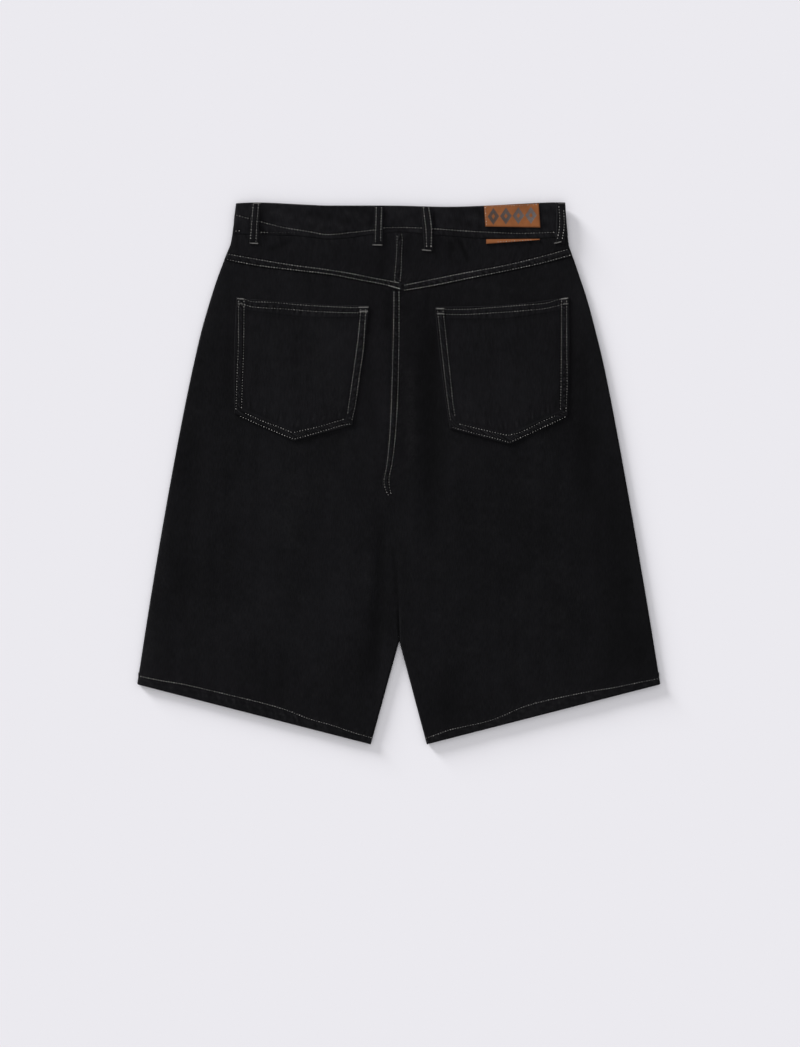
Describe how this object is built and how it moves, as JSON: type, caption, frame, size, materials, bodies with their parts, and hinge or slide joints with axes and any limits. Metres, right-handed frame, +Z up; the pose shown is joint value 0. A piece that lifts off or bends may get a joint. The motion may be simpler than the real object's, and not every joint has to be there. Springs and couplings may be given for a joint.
{
  "type": "bermuda shorts",
  "caption": "Loose black denim bermuda shorts laid flat with the back up: yoke, back pockets, waistband with belt loops, leather patch, contrast topstitching.",
  "frame": {"origin": "middle of the garment's outline, on the surface that it lies on", "axes": "+Y towards the waist, +Z up out of the surface through the back of the garment, +X towards the wearer's right"},
  "size_m": [0.6282, 0.6504, 0.0105],
  "materials": {
    "denim": "washed black cotton twill, matt, thin tan topstitching",
    "pocket_denim": "the same twill, a shade lighter, edges worn",
    "band_denim": "doubled black twill, matt, folded edge worn grey",
    "loop_denim": "folded black twill strips, edges worn",
    "leather": "tan brown vegetable-tanned leather, semi-matt, darkened print",
    "thread": "spun polyester topstitching thread, tan grey, for stitches that a visual model shows",
    "button_metal": "aged dark brass"
  },
  "bodies": {
    "root": {"back_panel_left": "denim", "back_panel_right": "denim", "front_panel_left": "denim", "front_panel_right": "denim", "back_yoke_left": "denim", "back_yoke_right": "denim", "fly_shield": "denim", "back_pocket_left": "pocket_denim", "back_pocket_right": "pocket_denim", "waistband": "band_denim", "belt_loop_side_left": "loop_denim", "belt_loop_centre_left": "loop_denim", "belt_loop_centre_right": "loop_denim", "belt_loop_side_right": "loop_denim", "belt_loop_front_left": "loop_denim", "belt_loop_front_right": "loop_denim", "label_patch": "leather", "label_patch_tail": "leather", "waist_button": "button_metal"}
  },
  "joints": []
}
